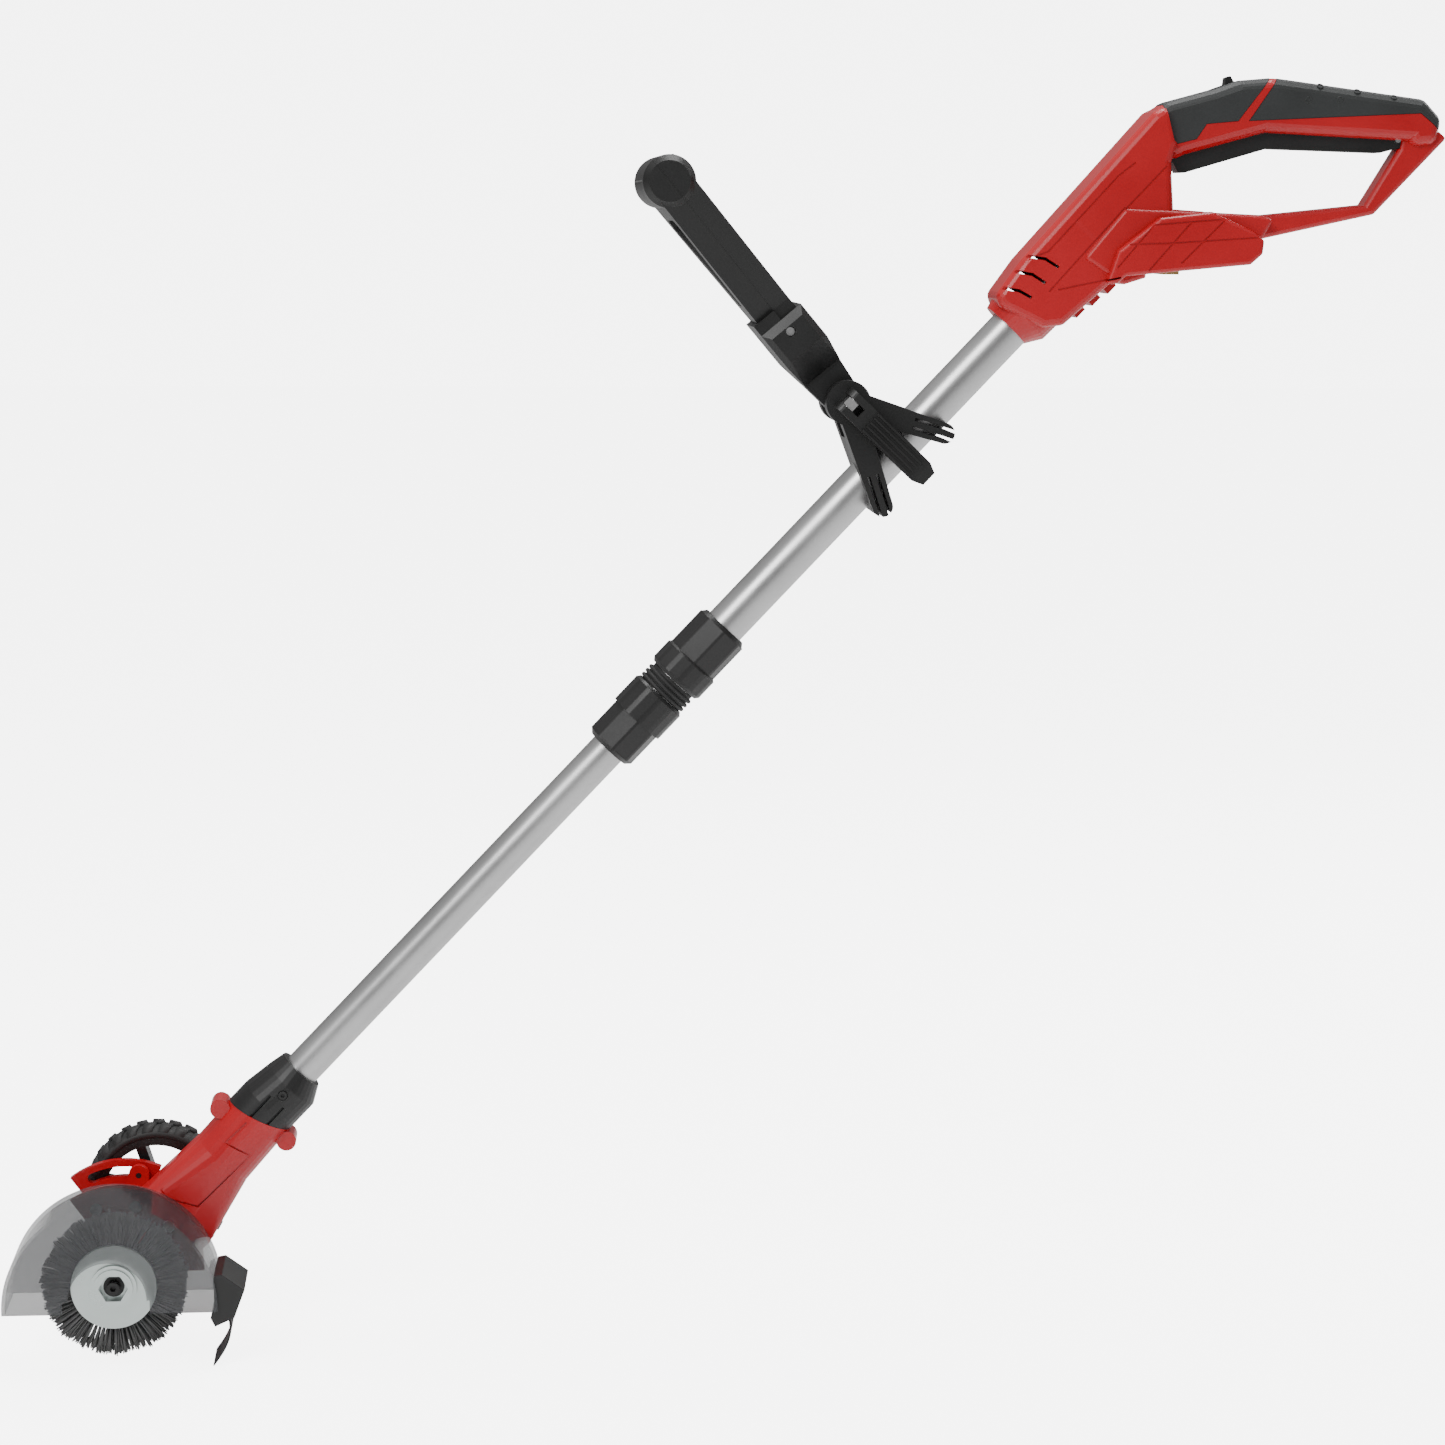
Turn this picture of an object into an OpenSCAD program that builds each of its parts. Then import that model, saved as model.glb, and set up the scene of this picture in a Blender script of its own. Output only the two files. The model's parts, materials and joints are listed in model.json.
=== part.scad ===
/* [Pole] */
// Angle of the pole above the ground in the working pose, degrees
pole_tilt = 46.5; // [40:0.5:55]
// Outer diameter of the upper tube
upper_od = 28; // [26:0.5:30]
// Outer diameter of the lower tube
lower_od = 25; // [22:0.5:25]
// Wall of both tubes
tube_wall = 1.3; // [1:0.1:1.4]
// Distance from the spindle to the end of the upper tube
upper_top = 930; // [900:5:935]
// Distance from the spindle to the top end of the lower tube
lower_top = 650; // [600:5:680]

/* [Brush] */
// Outer diameter of the bristle ring
brush_d = 100; // [80:1:110]
// Width of the bristle ring
brush_w = 14; // [8:1:18]
// Diameter of the two clamping flanges
flange_d = 57; // [40:1:64]
// Diameter of the spindle
spindle_d = 10; // [8:0.5:12]

/* [Guard] */
// Outer radius of the clear guard
guard_r = 71.5; // [66:0.5:76]
// Width of the clear guard across the machine
guard_w = 53; // [45:1:60]
// Wall of the clear guard
guard_wall = 2.2; // [1.6:0.1:3]

/* [Guide wheel] */
// Outer diameter of the guide wheel
wheel_d = 100; // [80:1:110]
// Width of the tyre
wheel_w = 26; // [18:1:30]
// Number of wheel spokes
wheel_spokes = 6; // [4:1:8]
// Diameter of the wheel axle
axle_d = 10; // [8:0.5:12]

/* [Front handle] */
// Distance from the spindle to the clamp pivot
clamp_s = 766; // [700:1:790]
// Lean of the front handle from square to the pole, degrees
handle_lean = 6.5; // [0:0.5:12]
// Distance from the clamp pivot to the centre of the grip bar
grip_reach = 190; // [160:1:210]
// Diameter of the front grip bar
grip_bar_d = 35; // [30:0.5:38]
// Width of the front handle loop
loop_w = 110; // [100:1:130]

/* [Rear handle] */
// Half width of the handle body
body_half = 25; // [22:0.5:28]
// Half width of the grip loop
loop_half = 18; // [16:0.5:20]
// Half width of the battery hood
hood_half = 34; // [32:0.5:38]
// Wall of the moulded shells
shell_wall = 3; // [2:0.5:3.5]

/* [Hidden] */
$fn = 48;
e = 0.01;
round_fn = 16;
running = 0.05;
seam = 0.1;
// tube bores
upper_ir = upper_od / 2 - tube_wall;
upper_r = upper_od / 2;
lower_r = lower_od / 2;
lower_s = 142;
upper_s = 520;
// head, measured along the pole from the spindle and across it
seam_s = 138;
seam_tilt = 17;
case_r = 24;
case_half = 19;
neck_r = 22;
neck_end = 180;
// motor
motor_r = 18;
motor_s = 40;
motor_len = 57;
shaft_r = 1.6;
magnet_t = 3;
// face gear pair: pinion on the motor shaft, crown wheel on the spindle
pinion_teeth = 8;
crown_teeth = 32;
mesh_r = 17;
tooth_top = -3.6;
tooth_root = -5.5;
// bearings of the spindle
bearing_r = 11;
bearing_w = 7;
bearing_bore = 4;
front_bearing_y = -22;
rear_bearing_y = 8;
boss_r = 15.95;
boss_end = 31;
// brush stack, along Y
flange_y = -70;
flange_t = 3;
bristle_y = flange_y + flange_t;
inner_y = bristle_y + brush_w;
hub_r = 13;
// guard
guard_x = -2.5;
guard_z = -13.5;
guard_y = -75;
plate_r = 57;
// guide wheel
wheel_x = 21;
wheel_z = 34;
arm_y = 24;
arm_t = 6;
wheel_y = 32;
slot_r = 54;
slot_from = 78;
slot_sweep = 37;
bolt_r = 3;
// clamp and front handle
pivot_t = 47;
pivot_r = 4;
lever_y = -35;
// twist lock along the pole
nut_s = 485;
nut_step = 513;
nut_end = 536.5;
seal_end = 549.5;
collar_s = 550;
collar_step = 568.5;
collar_end = 600;
// rear handle outlines, x along the pole and y square to it
body_outline = [
    [882, 18], [886, 25], [915, 29], [1046, 33], [1058, 29], [1043, 7], [1031, 1],
    [1010, -22], [1030, -46], [1000, -48], [947, -26], [903, -22], [892, -13]];
loop_outer = [
    [1046, 33], [1058, 30], [1086, 13], [1102, 5], [1119, -10], [1125, -18],
    [1181, -95], [1180, -112], [1166, -122], [1147, -106], [1152, -104],
    [1090, -32], [1042, -3], [1030, 1]];
lower_bar = [
    [1034, -77], [1046, -66], [1104, -115.5], [1147, -106], [1156, -100], [1178, -106],
    [1179, -121], [1173, -125], [1104, -125], [1036, -79]];
lower_wing = [
    [944, 0], [987, 3], [1008, -21], [1047, -66], [1052, -75], [1036, -79],
    [1000, -60], [950, -32]];
front_patch = [
    [1058, 36], [1042, 10], [1043, 6], [1054, -1], [1066, 1], [1082, -13],
    [1118, -9], [1128, -4], [1100, 20]];
rear_patch = [
    [1087, -18], [1172, -99], [1174, -124], [1190, -130], [1200, -90], [1140, 0],
    [1124, -12]];
trigger_outline = [
    [1031, -9], [1034, -12], [1084, -41], [1136, -99], [1149, -107], [1156, -101],
    [1148, -92], [1100, -32], [1058, -8], [1044, 1], [1034, 1]];
hood_outline = [
    [664, 667], [672, 668], [678, 673], [762, 681], [770, 688], [771, 697],
    [764, 703], [735, 716], [700, 712], [672, 690]];
trigger_pivot = [1150, -101];
trigger_half = 9;
button_at = [1097, 6];
button_lean = 26.6;
grip_depth = 2;
bar_half = 11;
line_w = 1.2;
line_depth = 0.8;
// lines cut in the sides of the handle: on the body, its vents, and on the hood
body_lines = [
    [[1013, 19], [999, 21], [931, 20], [918, 26]], [[987, 3], [913, 1]],
    [[918, -3], [951, -26]], [[1029, 2], [987, 2]]];
gill_paths = [
    [[917, 31], [926, 18], [928, 8.5]], [[905, 29], [912.6, 17], [914.5, 7.6]],
    [[892, 26], [898.7, 16], [901, 7.6]]];
hood_lines = [
    [[672, 679], [696, 707], [744, 711], [715, 682]], [[721, 709], [693, 677]],
    [[680, 694], [709, 695], [767, 699]]];

red = [0.78, 0.10, 0.12];
black = [0.10, 0.10, 0.11];
soft = [0.22, 0.23, 0.23];
alu = [0.78, 0.79, 0.80];
steel = [0.66, 0.68, 0.70];
zinc = [0.72, 0.76, 0.74];
brass = [0.80, 0.65, 0.30];
smoke = [0.45, 0.46, 0.48];
bristle = [0.32, 0.33, 0.33];

// the pole frame: X runs up the pole, Z square to it in the plane of the machine
module pole() rotate([0, -pole_tilt, 0]) children();

// a child drawn along +Z is laid along the pole from distance s
module along(s, t = 0) translate([s, 0, t]) rotate([0, 90, 0]) children();

// a child drawn along +Z is laid along +Y
module across(x, y, z) translate([x, y, z]) rotate([-90, 0, 0]) children();

// an outline in the XZ plane is given a thickness from y0 to y0 + w
module slab(y0, w) translate([0, y0 + w, 0]) rotate([90, 0, 0]) linear_extrude(w) children();

// an outline in the XZ plane as a solid of half width hw with edges rounded to r, all of it sunk by inset
module pebble(outline, hw, r, inset = 0) {
    minkowski() {
        slab(r - hw, 2 * (hw - r)) offset(delta = -r) polygon(outline);
        sphere(r - inset, $fn = round_fn);
    }
}

module inset_slab(outline, hw, depth) slab(-hw, 2 * hw) offset(delta = -depth) polygon(outline);

module half_space(side) translate([0, side > 0 ? seam / 2 : -500 - seam / 2, -600]) cube([1300, 500, 1700]);

module ring(r_out, r_in, h) difference() {
    cylinder(r = r_out, h = h);
    translate([0, 0, -1]) cylinder(r = r_in, h = h + 2);
}

module screw(head_r, head_h, shank_r, len) {
    translate([0, 0, -0.1]) cylinder(r = shank_r, h = len + 0.1);
    translate([0, 0, -head_h]) difference() {
        cylinder(r = head_r, h = head_h);
        translate([0, 0, -1]) cylinder(r = head_r * 0.5, h = 1 + head_h * 0.6, $fn = 6);
    }
}

// ---- rear handle ----
handle_screw_at = [[960, 10], [1030, 22], [990, -25], [1112, -20], [1168, -112]];

module nose() hull() {
    along(878, 3) cylinder(r = 17.5, h = 1, $fn = 32);
    along(889, 1) cylinder(r = 22.5, h = 10, $fn = 32);
    translate([960, -body_half, -20]) cube([10, 2 * body_half, 40]);
}

module handle_outside() {
    pole() {
        pebble(body_outline, body_half, 6);
        pebble(loop_outer, loop_half, 7.5);
        pebble(lower_bar, bar_half, 3.5);
        pebble(lower_wing, body_half + 2, 3);
        nose();
        for (i = [0 : 2]) translate([914 + 13 * i, -14, -26.5 - 2 * i]) cube([8, 28, 8]);
    }
    pebble(hood_outline, hood_half, 3);
}

module handle_inside() {
    pole() {
        inset_slab(body_outline, body_half - shell_wall, shell_wall + 1);
        inset_slab(loop_outer, loop_half - shell_wall - grip_depth, shell_wall + grip_depth);
        along(870) cylinder(r = upper_r + running, h = upper_top - 870 + 1);
        slab(-trigger_half - 0.5, 2 * trigger_half + 1) trigger_room();
        translate([button_at[0], 0, button_at[1]]) rotate([0, button_lean, 0])
            translate([-13, -6, -9]) cube([20, 12, 20]);
        across(trigger_pivot[0], -loop_half + 5, trigger_pivot[1]) cylinder(r = 2, h = 2 * loop_half - 10);
    }
    battery_room();
}

// the trigger with the space that it swings through
module trigger_room() for (a = [-0.5 : 0.5 : 4]) translate(trigger_pivot) rotate(-a)
    translate(-trigger_pivot) offset(delta = 0.6) polygon(trigger_outline);

// the hood is open below and at the back, with a rail along each side
module battery_room() {
    translate([692, -hood_half + 4, 660]) cube([100, 2 * hood_half - 8, 34]);
    for (side = [-1, 1]) translate([692, side * (hood_half - 4) - 2, 686]) cube([100, 4, 4]);
}

// thin bands along paths in a plane
module strokes(paths, w) for (p = paths) for (i = [0 : len(p) - 2]) translate(p[i])
    rotate(atan2(p[i + 1][1] - p[i][1], p[i + 1][0] - p[i][0]))
        translate([-w / 2, -w / 2]) square([norm(p[i + 1] - p[i]) + w, w]);

// the outer skin of a part of half width hw, on one side
module skin(side, hw) slab(side > 0 ? hw - line_depth : -hw - 10, 10 + line_depth) children();

module gills(side) pole() slab(side > 0 ? body_half - 3 : -body_half - 10, 13) strokes(gill_paths, 2);

module grip_cut() difference() {
    slab(-60, 120) {
        polygon(front_patch);
        polygon(rear_patch);
    }
    pebble(loop_outer, loop_half, 7.5, grip_depth);
}

module handle_half(side) color(red) difference() {
    intersection() {
        difference() {
            handle_outside();
            handle_inside();
            pole() grip_cut();
        }
        half_space(side);
    }
    gills(side);
    pole() skin(side, body_half) strokes(body_lines, line_w);
    skin(side, hood_half) strokes(hood_lines, line_w);
    pole() for (p = handle_screw_at) across(p[0], -2, p[1]) cylinder(r = 2, h = 60);
    pole() for (p = handle_screw_at) across(p[0], 12, p[1]) cylinder(r = 4, h = 60);
    pole() across(905, -21, 0) cylinder(r = 2.5, h = 42);
}

module handle_shell_left() handle_half(-1);
module handle_shell_right() handle_half(1);

module grip(patch) color(soft) pole() difference() {
    intersection() {
        pebble(loop_outer, loop_half, 7.5, -0.3);
        slab(-60, 120) offset(delta = -0.3) polygon(patch);
    }
    pebble(loop_outer, loop_half, 7.5, grip_depth - 0.1);
    slab(-trigger_half - 0.6, 2 * trigger_half + 1.2) trigger_room();
    translate([button_at[0], 0, button_at[1]]) rotate([0, button_lean, 0])
        translate([-13, -6.2, -9]) cube([20, 12.4, 20]);
}

module front_grip() grip(front_patch);
module rear_grip() grip(rear_patch);

module handle_screws() color(steel) pole() for (p = handle_screw_at)
    across(p[0], 12, p[1]) mirror([0, 0, 1]) screw(3.6, 2.5, 1.9, 10);

module trigger() color(black) pole() difference() {
    slab(-trigger_half, 2 * trigger_half) polygon(trigger_outline);
    across(trigger_pivot[0], -20, trigger_pivot[1]) cylinder(r = 2 + running, h = 40);
}

module trigger_pin() color(steel) pole()
    across(trigger_pivot[0], -loop_half + 5, trigger_pivot[1]) cylinder(r = 2, h = 2 * loop_half - 10);

module trigger_spring() color(steel) pole() translate([1075, 0, 1]) rotate([0, -35, 0])
    for (i = [0 : 3]) translate([0, 0, 1.6 * i]) ring(3, 2.2, 1);

module power_switch() color(black) pole() translate([1041, -6, 19]) rotate([0, 30, 0]) cube([16, 12, 6]);

module lock_button() color(black) pole() translate([button_at[0], 0, button_at[1]])
    rotate([0, button_lean, 0]) {
        translate([-4, -5.5, -5]) cube([8, 11, 5.5]);
        hull() {
            translate([-3.5, -5, 0]) cube([7, 10, 1]);
            translate([-1, -4.5, 4]) cube([3.5, 9, 2]);
        }
    }

module battery_terminal() color(black) translate([693, -20, 682]) cube([22, 40, 11.5]);

module battery_contacts() color(brass) for (i = [-2 : 2])
    translate([706, 7 * i - 0.6, 674]) cube([11, 1.2, 8]);

module upper_tube() color(alu) pole() along(upper_s) difference() {
    ring(upper_r, upper_ir, upper_top - upper_s);
    translate([0, 0, 905 - upper_s]) rotate([90, 0, 0]) cylinder(r = 2.5, h = 60, center = true);
}

module tube_bolt() color(steel) pole() across(905, -20, 0) cylinder(r = 2.4, h = 40);

// ---- twist lock ----
module faceted(r, h, n) intersection() {
    cylinder(r = r, h = h);
    translate([0, 0, -1]) cylinder(r = r * 1.02, h = h + 2, $fn = n);
}

module lock_collar() color(black) pole() along(collar_s) difference() {
    union() {
        cylinder(r1 = 19, r2 = 21, h = 2.5);
        translate([0, 0, 2.5]) faceted(21, collar_step - collar_s - 4, 12);
        translate([0, 0, collar_step - collar_s - 1.6]) cylinder(r1 = 20.8, r2 = 19.3, h = 1.6);
        translate([0, 0, collar_step - collar_s - e]) faceted(19.5, collar_end - collar_step - 3, 8);
        translate([0, 0, collar_end - collar_s - 3 - 2 * e]) cylinder(r1 = 18.8, r2 = 16.5, h = 3);
    }
    translate([0, 0, -1]) cylinder(r = upper_r, h = 80);
}

module lock_seal() color(black) pole() along(nut_end + 0.3) difference() {
    union() {
        cylinder(r = 17, h = seal_end - nut_end - 0.4);
        for (i = [0 : 2]) translate([0, 0, 0.4 + 3.6 * i]) rotate_extrude()
            translate([17.6, 1.4]) circle(r = 1.4, $fn = 24);
    }
    translate([0, 0, -1]) cylinder(r = upper_r, h = 20);
}

module collet() color(black) pole() along(nut_s + 8) difference() {
    union() {
        cylinder(r1 = 14.4, r2 = 15, h = 23);
        translate([0, 0, 22.5]) cylinder(r = 15, h = 3.5);
    }
    translate([0, 0, -1]) cylinder(r = lower_r + running, h = 40);
    for (a = [0 : 60 : 300]) rotate(a) translate([10, -0.8, -1]) cube([8, 1.6, 19]);
}

module lock_nut() color(black) pole() along(nut_s) difference() {
    union() {
        cylinder(r1 = 15.5, r2 = 18.4, h = 3);
        translate([0, 0, 2.9]) faceted(18.6, nut_step - nut_s - 2.9, 8);
        translate([0, 0, nut_step - nut_s - e]) faceted(20.3, nut_end - nut_step - 2, 12);
        translate([0, 0, nut_end - nut_s - 2 - 2 * e]) cylinder(r1 = 20, r2 = 18.4, h = 2);
    }
    translate([0, 0, -1]) cylinder(r = lower_r + 0.4, h = 9);
    translate([0, 0, 7]) cylinder(r = 15.6, h = 60);
}

// ---- lower pole and neck ----
module lower_tube() color(alu) pole() along(lower_s) ring(lower_r, lower_r - tube_wall, lower_top - lower_s);

// everything past the slanted joint between the neck and the head
module beyond_seam(gap) pole() translate([seam_s + gap, 0, 0]) rotate([0, -seam_tilt, 0])
    translate([0, -60, -60]) cube([120, 120, 120]);

module neck_collar() color(black) difference() {
    intersection() {
        pole() union() {
            along(118) cylinder(r = neck_r, h = 30);
            hull() {
                along(147) cylinder(r = neck_r, h = 1, $fn = 32);
                along(166, -1.5) cylinder(r = 20.5, h = 2, $fn = 32);
            }
            hull() {
                along(167, -1.5) cylinder(r = 20.5, h = 1, $fn = 32);
                along(neck_end - 2, 0.5) cylinder(r = 16, h = 2, $fn = 32);
            }
        }
        beyond_seam(0.2);
    }
    pole() along(lower_s - 30) cylinder(r = lower_r, h = 80);
    pole() across(162, -30, 0) cylinder(r = 3.4, h = 12);
    pole() across(162, -30, 0) cylinder(r = 1.7, h = 20);
    for (z = [-7, 5]) pole() translate([136, -30, z]) cube([20, 12, 1.8]);
}

module neck_screw() color(steel) pole() across(162, -19, 0) screw(3, 2.4, 1.6, 5);

// ---- head ----
boss_at = [[124, 23.5], [138, -25]];

module head_outside() pole() {
    hull() {
        along(146) cylinder(r = 22, h = 2, $fn = 32);
        along(98, -2) cylinder(r = 22.5, h = 2, $fn = 32);
    }
    hull() {
        along(98, -2) cylinder(r = 22.5, h = 1, $fn = 32);
        across(0, -case_half, 0) cylinder(r = case_r, h = 2 * case_half, $fn = 48);
        across(50, -15, -26) cylinder(r = 8.5, h = 30, $fn = 24);
    }
    for (p = boss_at) across(p[0], -11, p[1]) cylinder(r = 6.7, h = 22);
}

module head_inside() pole() {
    along(34) cylinder(r = motor_r + 0.6, h = 72);
    along(10) cylinder(r = 8, h = 26);
    across(0, -14, 0) cylinder(r = 21, h = 17);
    across(0, front_bearing_y - 5, 0) cylinder(r = bearing_r, h = 5 + bearing_w);
    across(0, -16, 0) cylinder(r = bearing_r - 2, h = 40);
    across(0, rear_bearing_y, 0) cylinder(r = bearing_r, h = bearing_w);
    along(105) cylinder(r = 16, h = 10);
    along(110) cylinder(r = lower_r, h = 60);
    for (p = boss_at) across(p[0], -5, p[1]) cylinder(r = 2, h = 14);
    for (p = boss_at) across(p[0], 8.5, p[1]) cylinder(r = 3.7, h = 14);
}

panel_outline = [[110, 16], [106, 18], [81, 19], [57, 16], [56, 8], [66, -11], [117, -13]];

module panel_groove() pole() slab(-40, 60) {
    difference() {
        polygon(panel_outline);
        offset(delta = -1.2) polygon(panel_outline);
    }
    strokes([[[113, 6], [131, 5]]], 1.4);
}

module head_core() pole() {
    hull() {
        along(149) cylinder(r = 21, h = 1, $fn = 32);
        across(0, 1 - case_half, 0) cylinder(r = case_r, h = 2 * case_half - 2, $fn = 32);
        across(50, -15, -25) cylinder(r = 7, h = 30, $fn = 24);
    }
}

module head_half(side) color(red) difference() {
    intersection() {
        union() {
            head_outside();
            pole() across(0, 10, 0) cylinder(r = boss_r, h = boss_end - 10);
            pole() slab(15.5, 6) head_lug();
        }
        half_space(side);
    }
    head_inside();
    beyond_seam(0);
    difference() {
        panel_groove();
        head_core();
    }
    translate([bolt_x, 0, bolt_z]) rotate([-90, 0, 0]) cylinder(r = 2, h = 60);
}

bolt_x = slot_r * cos(slot_from + 1);
bolt_z = slot_r * sin(slot_from + 1);

// a tab on the far side that carries the height bolt
module head_lug() rotate(-pole_tilt) hull() {
    translate([bolt_x, bolt_z]) circle(r = 7, $fn = 32);
    circle(r = 14, $fn = 32);
}

module head_shell_left() head_half(-1);
module head_shell_right() head_half(1);

module head_screws() color(steel) pole() for (p = boss_at)
    across(p[0], 8.5, p[1]) mirror([0, 0, 1]) screw(3.4, 2, 1.9, 12);

module motor_can() color(steel) pole() along(motor_s) difference() {
    cylinder(r = motor_r, h = motor_len);
    translate([0, 0, 1.5]) cylinder(r = motor_r - 1.2, h = motor_len);
    translate([0, 0, -1]) cylinder(r = 4, h = 4);
}

module motor_magnets() color(black) pole() along(motor_s + 8) for (a = [0, 180]) rotate(a)
    intersection() {
        ring(motor_r - 1.2, motor_r - 1.2 - magnet_t, 36);
        translate([3, -12, 0]) cube([20, 24, 36]);
    }

module motor_cap() color(black) pole() along(motor_s + motor_len - 4) difference() {
    cylinder(r = motor_r - 1.2, h = 4);
    translate([0, 0, -1]) cylinder(r = shaft_r + running, h = 6);
}

module armature() color(steel) pole() {
    along(20) cylinder(r = shaft_r, h = 80);
    along(motor_s + 10) for (i = [0 : 4]) rotate(72 * i) intersection() {
        cylinder(r = motor_r - 1.2 - magnet_t - 0.6, h = 30);
        translate([-e, -3, 0]) cube([20, 6, 30]);
    }
    along(motor_s + 43) cylinder(r = 4, h = 8);
}

module pinion() color(brass) pole() along(15.5) difference() {
    union() {
        linear_extrude(4) union() {
            circle(r = 3.4);
            for (i = [0 : pinion_teeth - 1]) rotate(360 / pinion_teeth * i - 90)
                translate([2, -0.4]) square([3.1, 0.8]);
        }
        translate([0, 0, 3]) cylinder(r = 2.8, h = 6);
    }
    translate([0, 0, 4.5]) cylinder(r = shaft_r, h = 10);
}

module spindle_bearings() color(steel) for (y = [front_bearing_y, rear_bearing_y])
    across(0, y, 0) {
        ring(bearing_r, bearing_r - 2, bearing_w);
        ring(bearing_bore + 2, bearing_bore, bearing_w);
        for (i = [0 : 7]) rotate(45 * i) translate([7.5, 0, bearing_w / 2]) sphere(r = 1.7, $fn = 16);
    }

module spindle() color(steel) difference() {
    union() {
        across(0, front_bearing_y - e, 0) cylinder(r = bearing_bore - running, h = 37);
        across(0, -63.9, 0) cylinder(r = spindle_d / 2, h = 63.9 + front_bearing_y);
    }
    across(0, -67, 0) cylinder(r = 2.5, h = 15);
}

module crown_gear() color(brass) difference() {
    union() {
        across(0, -10, 0) cylinder(r = 20, h = 10 + tooth_root);
        across(0, -14.5, 0) cylinder(r = 7, h = 11);
        rotate([0, -pole_tilt, 0]) for (i = [0 : crown_teeth - 1]) rotate([0, 360 / crown_teeth * (i + 0.5), 0])
            translate([14.5, tooth_root - e, -0.5]) cube([5.3, tooth_top - tooth_root, 1]);
    }
    across(0, -30, 0) cylinder(r = bearing_bore, h = 40);
}

// ---- brush ----
module inner_flange() color(zinc) across(0, inner_y, 0) difference() {
    union() {
        cylinder(r = flange_d / 2, h = flange_t);
        cylinder(r = 11, h = 22);
    }
    translate([0, 0, -1]) cylinder(r = spindle_d / 2, h = 40);
}

module bristle_ring() color(bristle) across(0, bristle_y, 0) ring(brush_d / 2, hub_r + 0.3, brush_w);

module outer_flange() color(zinc) across(0, flange_y, 0) difference() {
    union() {
        cylinder(r = flange_d / 2, h = flange_t);
        translate([0, 0, -2.5]) cylinder(r = 15.5, h = 3);
        translate([0, 0, -4]) cylinder(r = 13, h = 3);
        cylinder(r = hub_r, h = brush_w + flange_t);
    }
    translate([0, 0, 6]) cylinder(r = spindle_d / 2, h = 20);
    translate([0, 0, -5]) cylinder(r = 9.8, h = 8, $fn = 6);
    translate([0, 0, -5]) cylinder(r = 2.7, h = 20);
}

module brush_screw() color(black) across(0, flange_y + 1, 0) {
    screw(4.25, 5, 2.4, 2);
    cylinder(r = 2.4, h = 16);
    translate([0, 0, 1]) cylinder(r = 7, h = 1);
}

// ---- guard ----
module guard_disc(r) translate([guard_x, guard_z]) circle(r = r, $fn = 120);

module above(z) translate([-100, z]) square([200, 200]);

module guard_profile(r) intersection() {
    guard_disc(r);
    above(-17);
}

module notch() {
    translate([-4, -8]) circle(r = 26, $fn = 64);
    translate([-34, -60]) square([58, 52]);
}

module guard() color(smoke) {
    slab(guard_y, guard_wall) difference() {
        guard_profile(guard_r);
        notch();
    }
    slab(guard_y, guard_w) difference() {
        guard_profile(guard_r);
        guard_disc(guard_r - guard_wall);
        clip_cut();
    }
    difference() {
        slab(guard_y + guard_w - guard_wall, guard_wall) guard_profile(guard_r - 1);
        across(0, -60, 0) cylinder(r = 30, h = 80);
        for (a = [40, 75, 110]) across(44 * cos(a), -60, 44 * sin(a)) cylinder(r = 2.1, h = 60);
    }
}

module clip_cut() translate([66, -20]) square([12, 29]);

module backing_plate() color(red) difference() {
    backing_shape();
    head_outside();
}

module backing_shape() difference() {
    slab(guard_y + guard_w + 0.05, 3) difference() {
        circle(r = plate_r, $fn = 96);
        rotate(125) square([80, 160]);
        rotate(190) square([80, 160]);
        translate([-100, -100]) square([200, 96]);
    }
    across(0, -60, 0) cylinder(r = case_r + 0.3, h = 80);
    for (a = [40, 75, 110]) across(44 * cos(a), -60, 44 * sin(a)) cylinder(r = 1.7, h = 60);
}

module guard_screws() color(steel) for (a = [40, 75, 110])
    across(44 * cos(a), guard_y + guard_w - guard_wall, 44 * sin(a)) screw(4, 1.8, 1.6, 3);

module flap_clip() color(black) difference() {
    slab(-72, 46) polygon([[66.5, 7], [72, 8], [87, -3], [80, -22], [67, -28], [64, -22], [66.5, -14]]);
    slab(-66, 34) polygon([[73.5, 2], [78, 0], [76, -16], [71.5, -18]]);
    slab(-68, 38) polygon([[74.3, -19], [77.2, -19], [77.2, -40], [74.3, -40]]);
}

// the flap hangs from the clip in a shallow S and ends in a wedge
function flap_x(t) = 75.7 + 2.2 * sin(200 * t) - 9.5 * pow(t, 2.2);
function flap_z(t) = -19.5 - 37 * t;
flap_steps = 14;

module flap() color(black) slab(-67.5, 37) polygon(concat(
    [for (i = [0 : flap_steps]) let(t = i / flap_steps) [flap_x(t) - 0.9 + 0.5 * t, flap_z(t)]],
    [for (i = [flap_steps : -1 : 0]) let(t = i / flap_steps) [flap_x(t) + 0.9 - 0.5 * t, flap_z(t)]]));

// ---- guide wheel ----
module wheel_arm() color(red) difference() {
    slab(arm_y, arm_t) difference() {
        union() {
            circle(r = 23, $fn = 64);
            hull() {
                circle(r = 20, $fn = 48);
                translate([wheel_x, wheel_z]) circle(r = 11, $fn = 48);
            }
            difference() {
                intersection() {
                    circle(r = slot_r + 8, $fn = 96);
                    rotate(slot_from - 12) square([80, 80]);
                    rotate(slot_from + slot_sweep + 12 - 90) square([80, 80]);
                }
                intersection() {
                    circle(r = slot_r - 9, $fn = 96);
                    rotate(slot_from + 24) square([80, 80]);
                }
            }
        }
        for (i = [0 : 24]) rotate(slot_from + 1 + (slot_sweep - 2) * i / 24)
            translate([slot_r, 0]) circle(r = bolt_r + 0.4, $fn = 24);
    }
    across(0, arm_y - 1, 0) cylinder(r = boss_r + running, h = arm_t + 2);
    across(wheel_x, arm_y - 1, wheel_z) cylinder(r = axle_d / 2, h = arm_t + 2);
}

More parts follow.
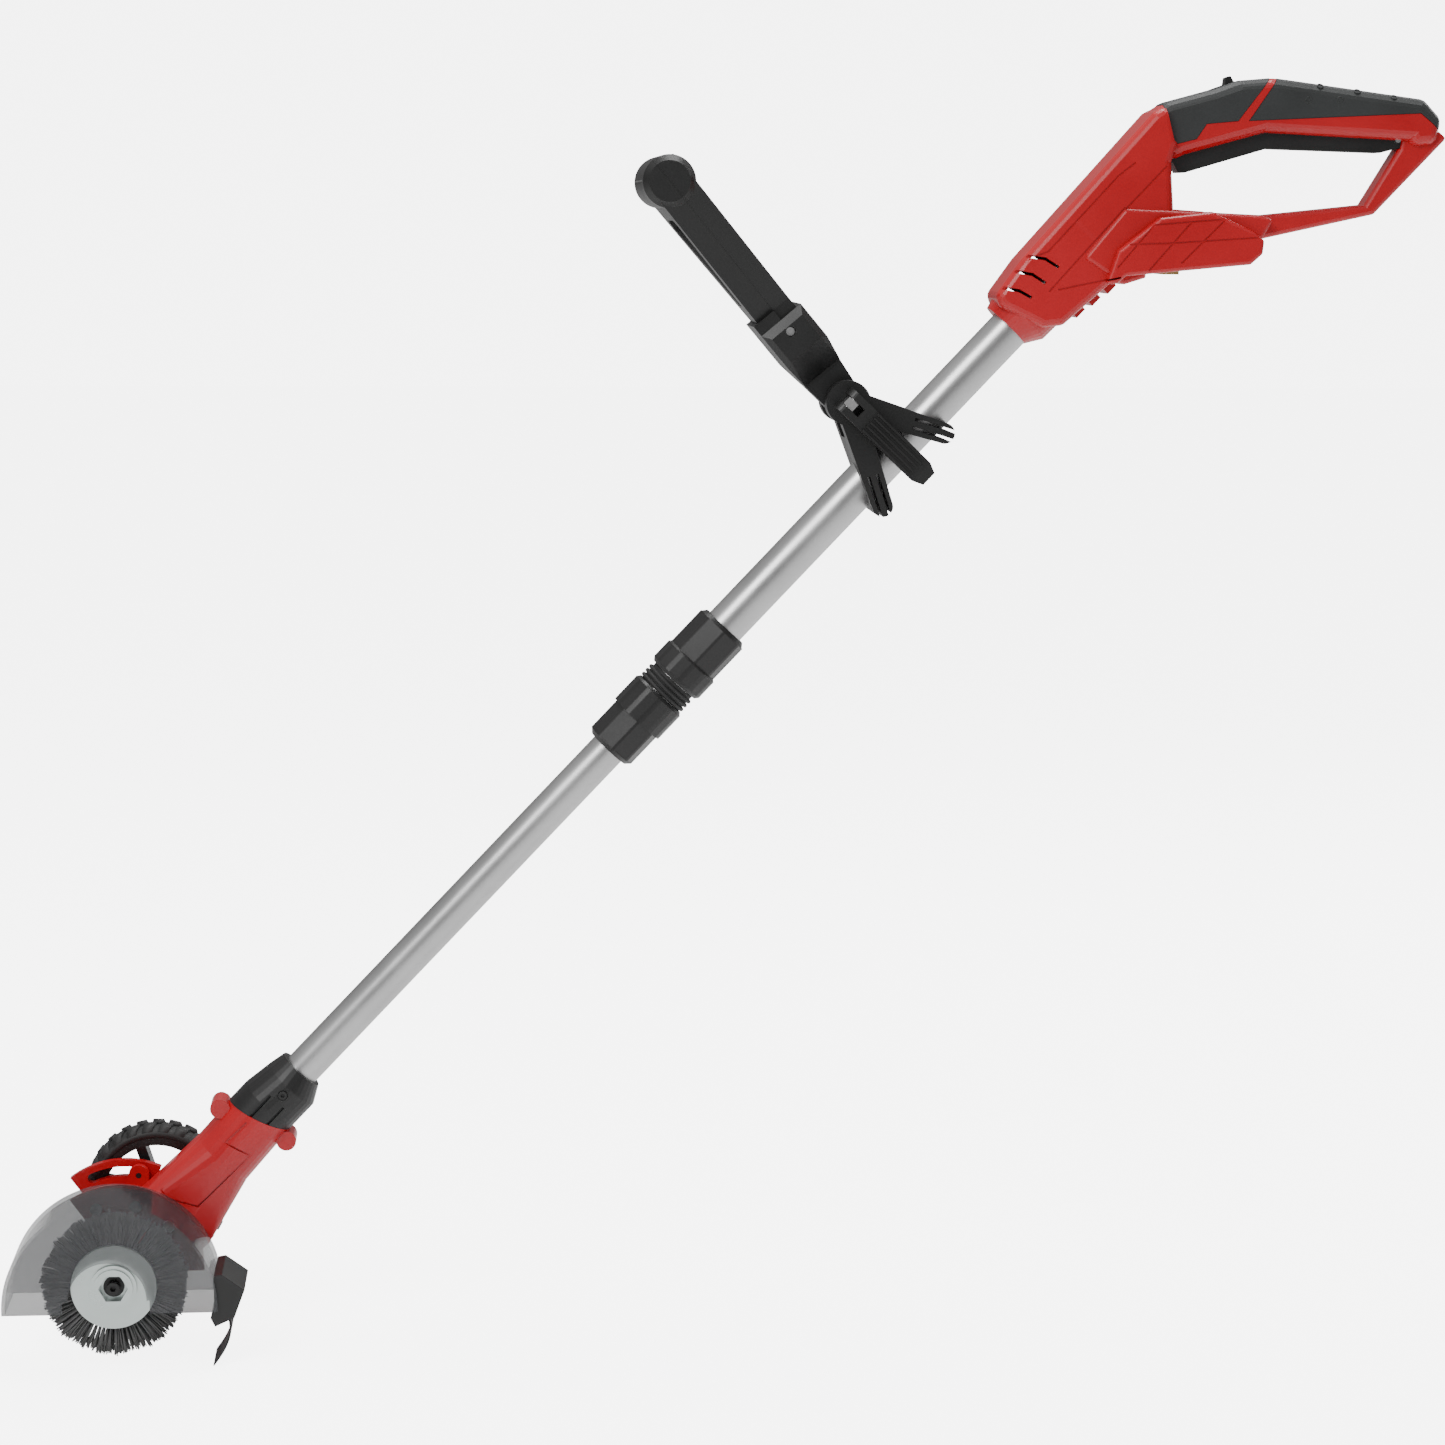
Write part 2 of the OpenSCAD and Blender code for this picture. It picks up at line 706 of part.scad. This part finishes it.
module wheel_axle() color(steel) across(wheel_x, arm_y, wheel_z) cylinder(r = axle_d / 2, h = 38);

module arm_bolt() color(black) across(bolt_x, 15.5, bolt_z) {
    cylinder(r = 1.95, h = 7);
    translate([0, 0, 6]) cylinder(r = bolt_r, h = 9);
    translate([0, 0, 14.9]) cylinder(r = 6.5, h = 1.2);
}

module wheel_rim() color(black) across(wheel_x, wheel_y, wheel_z) {
    ring(wheel_d / 2 - 9, wheel_d / 2 - 14, wheel_w);
    ring(10, axle_d / 2 + running, wheel_w);
    for (i = [0 : wheel_spokes - 1]) rotate(360 / wheel_spokes * i + 12)
        translate([9.6, -3.5, 5]) cube([wheel_d / 2 - 23, 7, wheel_w - 10]);
}

module wheel_tyre() color(soft) across(wheel_x, wheel_y, wheel_z) rotate_extrude($fn = 96)
    polygon([
        [wheel_d / 2 - 9, 0], [wheel_d / 2 - 4, 0], [wheel_d / 2 - 0.5, 4], [wheel_d / 2, 8],
        [wheel_d / 2, wheel_w - 8], [wheel_d / 2 - 0.5, wheel_w - 4], [wheel_d / 2 - 4, wheel_w],
        [wheel_d / 2 - 9, wheel_w]]);

module hub_cap() color(black) across(wheel_x, wheel_y + wheel_w, wheel_z) difference() {
    union() {
        cylinder(r = 9, h = 5);
        translate([0, 0, 5 - e]) cylinder(r1 = 9, r2 = 6, h = 2.5);
    }
    translate([0, 0, -1]) cylinder(r = axle_d / 2 + 0.4, h = 6);
}

// ---- clamp and front handle ----
module leg(p) hull() {
    translate([clamp_s, pivot_t]) circle(r = 9, $fn = 32);
    translate(p) circle(r = 7, $fn = 32);
}

module leg_slots(p, a) translate(p) rotate(a) for (k = [-1, 1])
    translate([-8, k * 3 - 1]) square([30, 2]);

module clamp_shape() difference() {
    union() {
        leg([clamp_s - 34, -18]);
        leg([clamp_s + 30, -14]);
        translate([clamp_s, pivot_t]) circle(r = 15, $fn = 48);
        translate([clamp_s - 16, 20]) square([32, 12]);
    }
    leg_slots([clamp_s - 34, -18], 62);
    leg_slots([clamp_s + 30, -14], 116);
}

module clamp_half(side) color(black) pole() difference() {
    intersection() {
        slab(-26, 52) clamp_shape();
        half_space(side);
    }
    along(600) cylinder(r = upper_r + running, h = 300);
    across(clamp_s, -40, pivot_t) cylinder(r = pivot_r, h = 80);
    across(clamp_s, -11.5, pivot_t) cylinder(r = 24, h = 23);
    translate([clamp_s - 30, -11.5, pivot_t - 12]) cube([60, 23, 60]);
}

module clamp_left() clamp_half(-1);
module clamp_right() clamp_half(1);

module clamp_bolt() color(steel) pole() {
    difference() {
        union() {
            across(clamp_s, -27.9, pivot_t) cylinder(r = pivot_r, h = 59.9);
            across(clamp_s, 26.1, pivot_t) cylinder(r = 8, h = 6, $fn = 6);
            translate([clamp_s - 3, lever_y - 4, pivot_t - 4]) cube([6, 11.3, 8]);
        }
        along(clamp_s - 20) translate([-pivot_t, lever_y, 0]) cylinder(r = 2.5, h = 40);
    }
}

module lever_pin() color(steel) pole() along(clamp_s - 8) translate([-pivot_t, lever_y, 0])
    cylinder(r = 2.5, h = 16);

module clamp_lever() color(black) pole() difference() {
    union() {
        hull() {
            along(clamp_s - 8.5) translate([-pivot_t, lever_y, 0]) cylinder(r = 7, h = 17, $fn = 32);
            translate([clamp_s - 8.5, lever_y - 7, 20]) cube([17, 8, 4]);
        }
        hull() {
            translate([clamp_s - 8.5, lever_y - 7, 20]) cube([17, 8, 4]);
            translate([clamp_s - 8.5, lever_y - 9, -18]) cube([17, 9, 4]);
            translate([clamp_s - 5.5, lever_y - 8.5, -25]) cube([11, 8, 4]);
        }
        for (k = [-2 : 2]) translate([clamp_s + 3.6 * k - 0.6, lever_y - 10.5, -14]) cube([1.2, 4, 44]);
    }
    along(clamp_s - 20) translate([-pivot_t, lever_y, 0]) cylinder(r = 2.5 + running, h = 40);
    translate([clamp_s - 3.4, lever_y - 8, pivot_t - 9]) cube([6.8, 17, 20]);
}

module at_pivot() pole() translate([clamp_s, 0, pivot_t]) rotate([0, handle_lean, 0]) children();

socket_half = 30;
socket_top = 80;

module handle_socket() color(black) at_pivot() difference() {
    union() {
        hull() {
            across(0, -11, 0) cylinder(r = 12, h = 22, $fn = 32);
            translate([-15, -11, 26]) cube([30, 22, 4]);
        }
        hull() {
            translate([-15, -14, 26]) cube([30, 28, 2]);
            translate([-17, -socket_half, 44]) cube([34, 2 * socket_half, socket_top - 52]);
            translate([-13, -socket_half - 3, 46]) cube([26, 2 * socket_half + 6, socket_top - 60]);
        }
        translate([-17, -socket_half, 50]) cube([17, 2 * socket_half, socket_top - 50]);
    }
    across(0, -20, 0) cylinder(r = pivot_r + running, h = 40);
    translate([-13.6, -26.1, 55]) cube([27.2, 52.2, 40]);
    across(0, -50, 62) cylinder(r = 3.4, h = 100);
}

module loop_shield() hull() {
    translate([-loop_w / 2 + 12, grip_reach]) circle(r = 12, $fn = 32);
    translate([loop_w / 2 - 12, grip_reach]) circle(r = 12, $fn = 32);
    translate([-26, socket_top]) square([52, 1]);
}

// one side of the loop as an outline seen along the pole
module loop_outline() difference() {
    union() {
        translate([-26, 56]) square([52, socket_top - 55]);
        loop_shield();
    }
    hull() {
        translate([-loop_w / 2 + 34, grip_reach - 30]) circle(r = 8, $fn = 32);
        translate([loop_w / 2 - 34, grip_reach - 30]) circle(r = 8, $fn = 32);
        translate([-8, 94]) square([16, 4]);
    }
}

module loop_solid() {
    intersection() {
        translate([-13.5, 0, 0]) rotate([90, 0, 90]) linear_extrude(27) loop_outline();
        slab(-80, 160) polygon([[-13.5, 50], [-13.5, 215], [13.5, 215], [13.5, 50]]);
    }
    across(0, -loop_w / 2, grip_reach) rotate_extrude() {
        polygon([
            [0, 0], [grip_bar_d / 2 - 4, 0], [grip_bar_d / 2, 4], [grip_bar_d / 2, loop_w - 4],
            [grip_bar_d / 2 - 4, loop_w], [0, loop_w]]);
    }
}

module loop_half_at(side) color(black) at_pivot() difference() {
    intersection() {
        loop_solid();
        translate([side > 0 ? 0.05 : -60.05, -80, 0]) cube([60, 160, 260]);
    }
    across(0, -60, 62) cylinder(r = 3, h = 120);
    for (y = [-loop_w / 2 - 1, loop_w / 2 - 3]) across(0, y, 130) cylinder(r = 3.6, h = 4);
}

module loop_front() loop_half_at(1);
module loop_back() loop_half_at(-1);

module socket_screws() color(steel) at_pivot() for (side = [-1, 1])
    across(0, side > 0 ? 12 : -28, 62) cylinder(r = 2.9, h = 16);

handle_shell_left();
handle_shell_right();
front_grip();
rear_grip();
handle_screws();
trigger();
trigger_pin();
trigger_spring();
power_switch();
lock_button();
battery_terminal();
battery_contacts();
upper_tube();
tube_bolt();
lock_collar();
lock_seal();
collet();
lock_nut();
lower_tube();
neck_collar();
neck_screw();
head_shell_left();
head_shell_right();
head_screws();
motor_can();
motor_magnets();
motor_cap();
armature();
pinion();
spindle_bearings();
spindle();
crown_gear();
inner_flange();
bristle_ring();
outer_flange();
brush_screw();
backing_plate();
guard();
guard_screws();
flap_clip();
flap();
wheel_arm();
wheel_axle();
arm_bolt();
wheel_rim();
wheel_tyre();
hub_cap();
clamp_left();
clamp_right();
clamp_bolt();
lever_pin();
clamp_lever();
handle_socket();
loop_front();
loop_back();
socket_screws();
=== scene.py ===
"""Brush edger: looks, fine pieces, light and camera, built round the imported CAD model."""
import json
import math
import random

import bmesh
import bpy
from mathutils import Matrix, Vector


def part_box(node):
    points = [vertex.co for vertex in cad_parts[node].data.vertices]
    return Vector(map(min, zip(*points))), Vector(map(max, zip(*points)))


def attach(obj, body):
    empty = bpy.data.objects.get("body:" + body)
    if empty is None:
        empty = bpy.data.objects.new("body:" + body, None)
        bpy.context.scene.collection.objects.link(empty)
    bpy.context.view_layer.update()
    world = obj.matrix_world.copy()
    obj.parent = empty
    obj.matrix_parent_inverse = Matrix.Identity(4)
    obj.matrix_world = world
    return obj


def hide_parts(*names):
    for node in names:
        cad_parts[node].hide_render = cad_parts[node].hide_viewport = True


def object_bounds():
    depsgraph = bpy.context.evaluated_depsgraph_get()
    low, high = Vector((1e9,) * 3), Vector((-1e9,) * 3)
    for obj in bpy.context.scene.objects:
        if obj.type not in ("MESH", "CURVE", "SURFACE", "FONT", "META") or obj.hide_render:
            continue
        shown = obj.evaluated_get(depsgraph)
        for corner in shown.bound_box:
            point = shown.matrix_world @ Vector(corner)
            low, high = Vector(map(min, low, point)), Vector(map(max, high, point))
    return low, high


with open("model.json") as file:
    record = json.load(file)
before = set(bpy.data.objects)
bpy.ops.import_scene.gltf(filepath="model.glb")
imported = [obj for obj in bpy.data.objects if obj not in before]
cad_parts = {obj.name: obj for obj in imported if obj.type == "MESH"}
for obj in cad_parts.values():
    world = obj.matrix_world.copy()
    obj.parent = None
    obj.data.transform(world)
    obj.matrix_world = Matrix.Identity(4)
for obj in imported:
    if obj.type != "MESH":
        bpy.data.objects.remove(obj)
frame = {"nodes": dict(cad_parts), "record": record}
nodes = frame["nodes"]
cad_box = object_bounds()
rng = random.Random(7)
MM = 0.001


# ---- camera ----
CAMERA_PLACE = Vector((0.2215, -2.3573, 0.7075))
CAMERA_AIM = Vector((0.4118, 0.0, 0.3691))
CAMERA_ROLL = math.radians(0.33)
CAMERA_LENS = 87.2


def make_camera():
    data = bpy.data.cameras.new("camera")
    data.lens = CAMERA_LENS
    data.sensor_width = 36
    cam = bpy.data.objects.new("camera", data)
    bpy.context.scene.collection.objects.link(cam)
    cam.location = CAMERA_PLACE
    look = (CAMERA_AIM - CAMERA_PLACE).to_track_quat("-Z", "Y")
    cam.rotation_mode = "QUATERNION"
    cam.rotation_quaternion = look @ Matrix.Rotation(CAMERA_ROLL, 3, "Z").to_quaternion()
    bpy.context.scene.camera = cam


# ---- materials ----
def new_material(name):
    mat = bpy.data.materials.new(name)
    mat.use_nodes = True
    return mat, mat.node_tree, mat.node_tree.nodes["Principled BSDF"]


def node(tree, kind, **settings):
    n = tree.nodes.new(kind)
    for key, value in settings.items():
        setattr(n, key, value)
    return n


def object_space(tree, scale=(1, 1, 1), turn=(0, 0, 0)):
    place = node(tree, "ShaderNodeTexCoord")
    fit = node(tree, "ShaderNodeMapping")
    fit.inputs["Scale"].default_value = scale
    fit.inputs["Rotation"].default_value = turn
    tree.links.new(place.outputs["Object"], fit.inputs["Vector"])
    return fit.outputs["Vector"]


def speckle(tree, where, scale, detail=3.0):
    n = node(tree, "ShaderNodeTexNoise")
    n.inputs["Scale"].default_value = scale
    n.inputs["Detail"].default_value = detail
    tree.links.new(where, n.inputs["Vector"])
    return n.outputs["Fac"]


def ramp(tree, fac, low, high, start=0.3, end=0.7):
    r = node(tree, "ShaderNodeValToRGB")
    r.color_ramp.elements[0].position = start
    r.color_ramp.elements[1].position = end
    r.color_ramp.elements[0].color = low
    r.color_ramp.elements[1].color = high
    tree.links.new(fac, r.inputs["Fac"])
    return r.outputs["Color"]


def grey(v):
    return (v, v, v, 1)


def bump(tree, bsdf, height, strength, distance):
    b = node(tree, "ShaderNodeBump")
    b.inputs["Strength"].default_value = strength
    b.inputs["Distance"].default_value = distance
    tree.links.new(height, b.inputs["Height"])
    tree.links.new(b.outputs["Normal"], bsdf.inputs["Normal"])


def shaded(name, low, high, rough, grain, depth, metallic=0.0, coat=0.0, stretch=(1, 1, 1), turn=(0, 0, 0)):
    """A surface whose colour and roughness wander slightly, with a fine grain as bump."""
    mat, tree, bsdf = new_material(name)
    cloud = speckle(tree, object_space(tree), 18)
    tree.links.new(ramp(tree, cloud, low, high), bsdf.inputs["Base Color"])
    tree.links.new(ramp(tree, cloud, grey(rough[0]), grey(rough[1])), bsdf.inputs["Roughness"])
    fine = speckle(tree, object_space(tree, stretch, turn), grain, 2.0)
    bump(tree, bsdf, fine, 0.35, depth)
    bsdf.inputs["Metallic"].default_value = metallic
    bsdf.inputs["Coat Weight"].default_value = coat
    bsdf.inputs["Coat Roughness"].default_value = 0.12
    return mat


def smoke_material():
    mat, tree, bsdf = new_material("smoke_clear")
    cloud = speckle(tree, object_space(tree), 30)
    tint = ramp(tree, cloud, (0.060, 0.064, 0.070, 1), (0.078, 0.082, 0.088, 1))
    tree.links.new(tint, bsdf.inputs["Base Color"])
    bsdf.inputs["Roughness"].default_value = 0.08
    bsdf.inputs["Alpha"].default_value = 0.36
    bsdf.inputs["Specular IOR Level"].default_value = 0.7
    mat.surface_render_method = "BLENDED"
    return mat


POLE_ANGLE = 46.5
POLE_TURN = (0, math.radians(POLE_ANGLE), 0)
ALONG_POLE = (0.02, 1, 1)

SURFACES = {
    "red_shell": dict(
        low=(0.46, 0.0030, 0.0075, 1), high=(0.53, 0.0045, 0.0095, 1), rough=(0.30, 0.40),
        grain=2600, depth=0.00004, coat=0.18),
    "black_plastic": dict(low=grey(0.0075), high=grey(0.0125), rough=(0.34, 0.46), grain=3200, depth=0.00010),
    "soft_grip": dict(
        low=(0.022, 0.024, 0.024, 1), high=(0.031, 0.034, 0.034, 1), rough=(0.52, 0.64),
        grain=2600, depth=0.00016),
    "black_rubber": dict(low=grey(0.016), high=grey(0.026), rough=(0.60, 0.75), grain=1800, depth=0.00016),
    "satin_aluminium": dict(
        low=grey(0.50), high=grey(0.57), rough=(0.30, 0.38), grain=1500, depth=0.00006,
        metallic=1.0, stretch=ALONG_POLE, turn=POLE_TURN),
    "bright_steel": dict(
        low=grey(0.55), high=grey(0.64), rough=(0.22, 0.34), grain=900, depth=0.00004, metallic=1.0),
    "dark_steel": dict(
        low=grey(0.03), high=grey(0.05), rough=(0.35, 0.5), grain=900, depth=0.00004, metallic=0.8),
    "zinc_plate": dict(
        low=(0.55, 0.61, 0.59, 1), high=(0.64, 0.69, 0.67, 1), rough=(0.26, 0.40),
        grain=700, depth=0.00006, metallic=0.85),
    "brass": dict(
        low=(0.70, 0.50, 0.20, 1), high=(0.80, 0.60, 0.28, 1), rough=(0.25, 0.35),
        grain=900, depth=0.00004, metallic=1.0),
    "bristle": dict(low=grey(0.075), high=grey(0.16), rough=(0.55, 0.75), grain=1400, depth=0.00006),
}
MATERIALS = {name: shaded(name, **look) for name, look in SURFACES.items()}
MATERIALS["smoke_clear"] = smoke_material()


# ---- the CAD nodes ----
def soften(obj):
    """Small rounded edges and smooth shading on a CAD node."""
    edge = obj.modifiers.new("edge", "BEVEL")
    edge.width = 0.6 * MM
    edge.segments = 2
    edge.limit_method = "ANGLE"
    edge.angle_limit = math.radians(35)
    edge.harden_normals = False
    smooth(obj)


def smooth(obj, angle=32):
    for face in obj.data.polygons:
        face.use_smooth = True
    bpy.context.view_layer.objects.active = obj
    obj.select_set(True)
    bpy.ops.object.shade_auto_smooth(angle=math.radians(angle))
    obj.select_set(False)


ROUNDED = (
    "clamp_left", "clamp_right", "clamp_lever", "handle_socket", "loop_front", "loop_back", "lock_nut",
    "lock_collar", "neck_collar", "wheel_arm", "hub_cap", "trigger", "flap_clip", "wheel_rim", "lock_button")


def dress_cad():
    slots = {part["node"]: part["material_slot"] for part in frame["record"]["subparts"]}
    for name, obj in nodes.items():
        mat = MATERIALS["dark_steel" if name == "neck_screw" else slots[name]]
        obj.data.materials.clear()
        obj.data.materials.append(mat)
        if name in ROUNDED:
            soften(obj)
        else:
            smooth(obj)


# ---- made pieces ----
def finish_piece(name, bm, body, slot, replaced=(), auto=40):
    """Turn a built mesh into a piece that rides on a body and may stand in for CAD nodes."""
    mesh = bpy.data.meshes.new(name)
    bm.normal_update()
    bm.to_mesh(mesh)
    bm.free()
    obj = bpy.data.objects.new(name, mesh)
    bpy.context.scene.collection.objects.link(obj)
    mesh.materials.append(MATERIALS[slot])
    smooth(obj, auto)
    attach(obj, body)
    if replaced:
        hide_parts(*replaced)


def prism(bm, path, radii, sides):
    """A tapered rod along a path, closed at both ends."""
    rings = []
    for i, p in enumerate(path):
        ahead = path[min(i + 1, len(path) - 1)] - path[max(i - 1, 0)]
        ahead.normalize()
        u = ahead.cross(Vector((0, 1, 0)))
        u.normalize()
        v = ahead.cross(u)
        ring = []
        for k in range(sides):
            a = 2 * math.pi * k / sides
            ring.append(bm.verts.new(p + radii[i] * (math.cos(a) * u + math.sin(a) * v)))
        rings.append(ring)
    for lower, upper in zip(rings, rings[1:]):
        for k in range(sides):
            j = (k + 1) % sides
            bm.faces.new((lower[k], upper[k], upper[j], lower[j]))
    bm.faces.new(rings[0])
    bm.faces.new(reversed(rings[-1]))


def polar(centre, radius, angle, y):
    return Vector((centre[0] + radius * math.cos(angle), y, centre[1] + radius * math.sin(angle)))


def make_bristles():
    """Tufts of slightly bent filaments, closer together at the bottom where they meet the ground."""
    low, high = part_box("bristle_ring")
    outer = (high.x - low.x) / 2
    inner = outer * 0.46
    bm = bmesh.new()
    tufts = 76
    per_tuft = 26
    filament = 0.46 * MM
    points = 4
    for t in range(tufts):
        heart = 2 * math.pi * (t + rng.uniform(-0.12, 0.12)) / tufts
        bottom = max(0.0, -math.sin(heart))
        gather = 0.042 - 0.008 * bottom
        reach = outer * rng.uniform(0.955, 1.0)
        for _ in range(per_tuft):
            y = rng.uniform(low.y + 0.8 * MM, high.y - 0.8 * MM)
            spread = rng.gauss(0, gather * 0.5)
            bend = rng.gauss(0, 0.012)
            top = reach * rng.uniform(0.95, 1.0)
            path = []
            for k in range(points):
                f = k / (points - 1)
                angle = heart + spread * (0.6 + 0.5 * f) + bend * f * f
                path.append(polar((0, 0), inner + (top - inner) * f, angle, y))
            prism(bm, path, [filament] * (points - 1) + [filament * 0.8], 4)
    finish_piece("bristles", bm, "brush", "bristle", ("bristle_ring",), 30)


def make_tyre():
    """The tyre as a turned bed with slanted tread blocks on it."""
    low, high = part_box("wheel_tyre")
    centre = ((low.x + high.x) / 2, (low.z + high.z) / 2)
    outer = (high.x - low.x) / 2
    bed = outer - 2.2 * MM
    rim = outer - 9.0 * MM
    wall = outer - 5.0 * MM
    edge = bed - 0.8 * MM
    side = 3.0 * MM
    half_profile = [(rim, 0), (wall, 0), (edge, side), (bed, 2.2 * side)]
    profile = [(r, low.y + y) for r, y in half_profile] + [(r, high.y - y) for r, y in reversed(half_profile)]
    bm = bmesh.new()
    steps = 96
    rings = []
    for i in range(steps):
        a = 2 * math.pi * i / steps
        rings.append([bm.verts.new(polar(centre, r, a, y)) for r, y in profile])
    count = len(profile)
    for i in range(steps):
        a, b = rings[i], rings[(i + 1) % steps]
        for k in range(count):
            j = (k + 1) % count
            bm.faces.new((a[k], a[j], b[j], b[k]))
    lugs = 26
    middle = (low.y + high.y) / 2
    half = (high.y - low.y) / 2
    for i in range(lugs):
        for direction in (-1, 1):
            start = 2 * math.pi * (i + 0.25 * direction) / lugs
            lug(bm, centre, bed, outer, middle, half, start, direction, 2 * math.pi / lugs)
    bmesh.ops.recalc_face_normals(bm, faces=bm.faces)
    finish_piece("tyre", bm, "wheel", "black_rubber", ("wheel_tyre",), 30)


def lug(bm, centre, bed, outer, middle, half, start, direction, pitch):
    """One slanted tread block, bent over the shoulder of the tyre."""
    across = [0.06, 0.55, 0.82, 0.97]
    tops = [outer, outer, outer - 1.2 * MM, outer - 4.2 * MM]
    floor = [bed - 1.0 * MM, bed - 1.0 * MM, bed - 2.2 * MM, outer - 6.2 * MM]
    lower, upper = [], []
    for f, top, base in zip(across, tops, floor):
        y = middle + direction * half * f
        lean = start + 0.30 * pitch * f
        width = pitch * (0.30 + 0.06 * f)
        lower.append([bm.verts.new(polar(centre, base, lean + s * width, y)) for s in (-1, 1)])
        upper.append([bm.verts.new(polar(centre, top, lean + s * width * 0.86, y)) for s in (-1, 1)])
    for k in range(len(across) - 1):
        bm.faces.new((upper[k][0], upper[k][1], upper[k + 1][1], upper[k + 1][0]))
        bm.faces.new((lower[k][1], lower[k][0], lower[k + 1][0], lower[k + 1][1]))
        bm.faces.new((lower[k][0], upper[k][0], upper[k + 1][0], lower[k + 1][0]))
        bm.faces.new((upper[k][1], lower[k][1], lower[k + 1][1], upper[k + 1][1]))
    bm.faces.new((lower[0][0], lower[0][1], upper[0][1], upper[0][0]))
    bm.faces.new((lower[-1][1], lower[-1][0], upper[-1][0], upper[-1][1]))


# centre along the pole, centre square to it, depth below the side of the grip, lean towards the top
GRIP_DIMPLES = [
    (1125.0, -37.4, 0.1, 0), (1140.3, -52.7, 0.1, 0), (1137.7, -36.9, 3.0, 52), (1152.7, -57.6, 3.0, 52),
    (1167.4, -78.4, 3.0, 52)]
GRIP_UP = Vector((0.809, 0, 0.588))


def torus(bm, place, ring_r, tube_r, around=24, sides=8):
    """A ring about the local Z axis of the placing matrix."""
    rings = []
    for k in range(around):
        a = 2 * math.pi * k / around
        ring = []
        for j in range(sides):
            b = 2 * math.pi * j / sides
            r = ring_r + tube_r * math.cos(b)
            point = Vector((r * math.cos(a), r * math.sin(a), tube_r * math.sin(b)))
            ring.append(bm.verts.new(place @ point))
        rings.append(ring)
    for k in range(around):
        a, b = rings[k], rings[(k + 1) % around]
        for j in range(sides):
            i = (j + 1) % sides
            bm.faces.new((a[j], b[j], b[i], a[i]))
    bmesh.ops.recalc_face_normals(bm, faces=bm.faces)


def make_dimples():
    """Small raised rings moulded in both sides of the rear grip."""
    low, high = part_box("rear_grip")
    pole = Matrix.Rotation(-math.radians(POLE_ANGLE), 4, "Y")
    for i, (s, t, sunk, lean) in enumerate(GRIP_DIMPLES):
        for side, y, sign in (("left", low.y, -1), ("right", high.y, 1)):
            tilt = math.radians(lean)
            normal = math.cos(tilt) * Vector((0, sign, 0)) + math.sin(tilt) * GRIP_UP
            place = pole @ Matrix.Translation((s * MM, y - sign * sunk * MM, t * MM))
            place = place @ normal.to_track_quat("Z", "Y").to_matrix().to_4x4()
            bm = bmesh.new()
            torus(bm, place, 1.9 * MM, 0.45 * MM)
            finish_piece(f"dimple_{side}_{i}", bm, "handle", "soft_grip")


# ---- stage ----
FLOOR_GLOW = 5.4
SKY_SEEN = 6.0
SKY_LIGHT = 0.62


def seen_directly(tree):
    """1 for a camera ray that has passed through nothing clear, so the bare stage reads as white paper."""
    path = node(tree, "ShaderNodeLightPath")
    bare = node(tree, "ShaderNodeMath", operation="LESS_THAN")
    bare.inputs[1].default_value = 0.5
    tree.links.new(path.outputs["Transparent Depth"], bare.inputs[0])
    both = node(tree, "ShaderNodeMath", operation="MULTIPLY")
    tree.links.new(path.outputs["Is Camera Ray"], both.inputs[0])
    tree.links.new(bare.outputs["Value"], both.inputs[1])
    return both.outputs["Value"]


def make_stage(low):
    mesh = bpy.data.meshes.new("floor")
    reach = 14
    z = low.z - 0.5 * MM
    corners = [(-reach, -reach, z), (reach, -reach, z), (reach, reach, z), (-reach, reach, z)]
    mesh.from_pydata(corners, [], [(0, 1, 2, 3)])
    floor = bpy.data.objects.new("floor", mesh)
    bpy.context.scene.collection.objects.link(floor)
    mat, tree, bsdf = new_material("floor")
    cloud = speckle(tree, object_space(tree), 2)
    tree.links.new(ramp(tree, cloud, grey(0.90), grey(0.93)), bsdf.inputs["Base Color"])
    bsdf.inputs["Roughness"].default_value = 0.9
    bsdf.inputs["Emission Color"].default_value = (1, 1, 1, 1)
    glow = node(tree, "ShaderNodeMath", operation="MULTIPLY")
    glow.inputs[1].default_value = FLOOR_GLOW
    tree.links.new(seen_directly(tree), glow.inputs[0])
    tree.links.new(glow.outputs["Value"], bsdf.inputs["Emission Strength"])
    mesh.materials.append(mat)


def area_light(name, place, aim, size, power):
    data = bpy.data.lights.new(name, "AREA")
    data.shape = "RECTANGLE"
    data.size, data.size_y = size
    data.energy = power
    lamp = bpy.data.objects.new(name, data)
    bpy.context.scene.collection.objects.link(lamp)
    lamp.location = place
    lamp.rotation_euler = (Vector(aim) - Vector(place)).to_track_quat("-Z", "Y").to_euler()


def make_light():
    world = bpy.data.worlds.new("studio")
    world.use_nodes = True
    tree = world.node_tree
    back = tree.nodes["Background"]
    place = node(tree, "ShaderNodeTexCoord")
    split = node(tree, "ShaderNodeSeparateXYZ")
    tree.links.new(place.outputs["Generated"], split.inputs["Vector"])
    shade = ramp(tree, split.outputs["Z"], grey(0.25), grey(1.0), 0.0, 0.8)
    blend = node(tree, "ShaderNodeMix", data_type="RGBA")
    tree.links.new(seen_directly(tree), blend.inputs["Factor"])
    colours = [i for i in blend.inputs if i.type == "RGBA"]
    tree.links.new(shade, colours[0])
    colours[1].default_value = grey(SKY_SEEN / SKY_LIGHT)
    socket = [o for o in blend.outputs if o.type == "RGBA"][0]
    tree.links.new(socket, back.inputs["Color"])
    back.inputs["Strength"].default_value = SKY_LIGHT
    bpy.context.scene.world = world
    middle = (0.4, 0, 0.35)
    area_light("key", (-1.2, -2.2, 2.4), middle, (1.4, 1.4), 60)
    area_light("top", (0.6, 0.3, 2.6), middle, (1.6, 0.8), 40)
    area_light("rim", (2.2, 1.4, 1.4), middle, (0.8, 1.6), 25)


make_camera()
dress_cad()
make_bristles()
make_tyre()
make_dimples()
make_stage(cad_box[0])
make_light()
